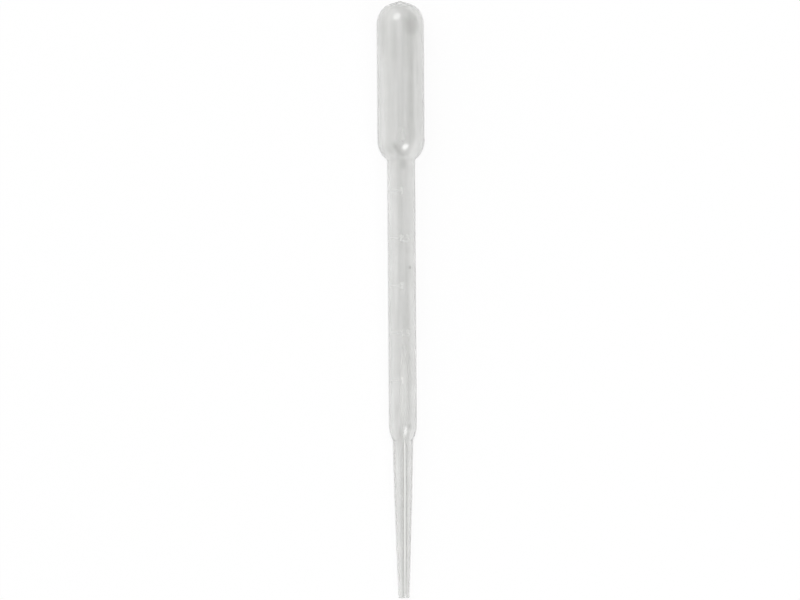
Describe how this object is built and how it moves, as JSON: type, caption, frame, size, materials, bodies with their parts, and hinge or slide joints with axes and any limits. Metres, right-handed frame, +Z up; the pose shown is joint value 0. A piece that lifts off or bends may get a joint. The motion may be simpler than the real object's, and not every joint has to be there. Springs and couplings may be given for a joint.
{
  "type": "plastic dropper pipette",
  "caption": "Squeeze pipette blown in one piece of milky polyethylene: closed bulb, graduated stem, rounded shoulder and tapered open tip, for drawing up and dropping small volumes.",
  "frame": {"origin": "middle of the box around the lying pipette, on the surface it rests on", "axes": "+Z up out of the surface; +Y along the pipette towards the bulb; +X to the right of the graduations read with the bulb uppermost. The pipette's own axis leans 1.96 degrees, bulb end higher."},
  "size_m": [0.0128, 0.16, 0.0138],
  "materials": {
    "polyethylene": "milky translucent natural polyethylene, soft satin gloss"
  },
  "bodies": {
    "root": {"pipette": "polyethylene"}
  },
  "joints": []
}
